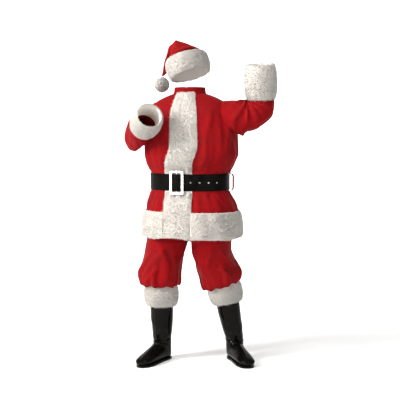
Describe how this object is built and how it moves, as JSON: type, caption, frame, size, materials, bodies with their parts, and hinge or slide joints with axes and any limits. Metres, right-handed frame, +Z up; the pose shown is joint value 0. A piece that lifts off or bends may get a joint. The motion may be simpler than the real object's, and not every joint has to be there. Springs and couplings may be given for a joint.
{
  "type": "santa suit",
  "caption": "Red plush santa suit with white fur trim: belted jacket, trousers, floppy hat with pompom and black boots, standing hollow with one arm raised.",
  "frame": {"origin": "middle of the jacket's neck seam, where the wearer's neck and shoulders carry it", "axes": "+Z up along the standing suit, front faces -Y with the chest turned 20 degrees towards the wearer's right, +X is the wearer's left"},
  "size_m": [0.8143, 0.5224, 1.7768],
  "materials": {
    "red_plush": "matte",
    "white_fur": "matte",
    "belt_leather": "satin",
    "buckle_metal": "satin",
    "boot_vinyl": "gloss"
  },
  "bodies": {
    "root": {"jacket_front_left": "red_plush", "jacket_front_right": "red_plush", "jacket_back": "red_plush", "jacket_neckband": "red_plush", "jacket_sleeve_left": "red_plush", "jacket_sleeve_right": "red_plush", "belt_loop_left": "red_plush", "belt_loop_right": "red_plush", "trouser_waistband": "red_plush", "trouser_leg_left": "red_plush", "trouser_leg_right": "red_plush", "hat_crown": "red_plush", "fur_front_band": "white_fur", "fur_hem_band": "white_fur", "fur_cuff_left": "white_fur", "fur_cuff_right": "white_fur", "trouser_fur_cuff_left": "white_fur", "trouser_fur_cuff_right": "white_fur", "hat_fur_band": "white_fur", "hat_pompom": "white_fur", "belt_strap": "belt_leather", "buckle_frame": "buckle_metal", "belt_eyelet_1": "buckle_metal", "belt_eyelet_2": "buckle_metal", "belt_eyelet_3": "buckle_metal", "belt_eyelet_4": "buckle_metal", "boot_left": "boot_vinyl", "boot_right": "boot_vinyl", "boot_sole_left": "boot_vinyl", "boot_sole_right": "boot_vinyl"}
  },
  "joints": []
}
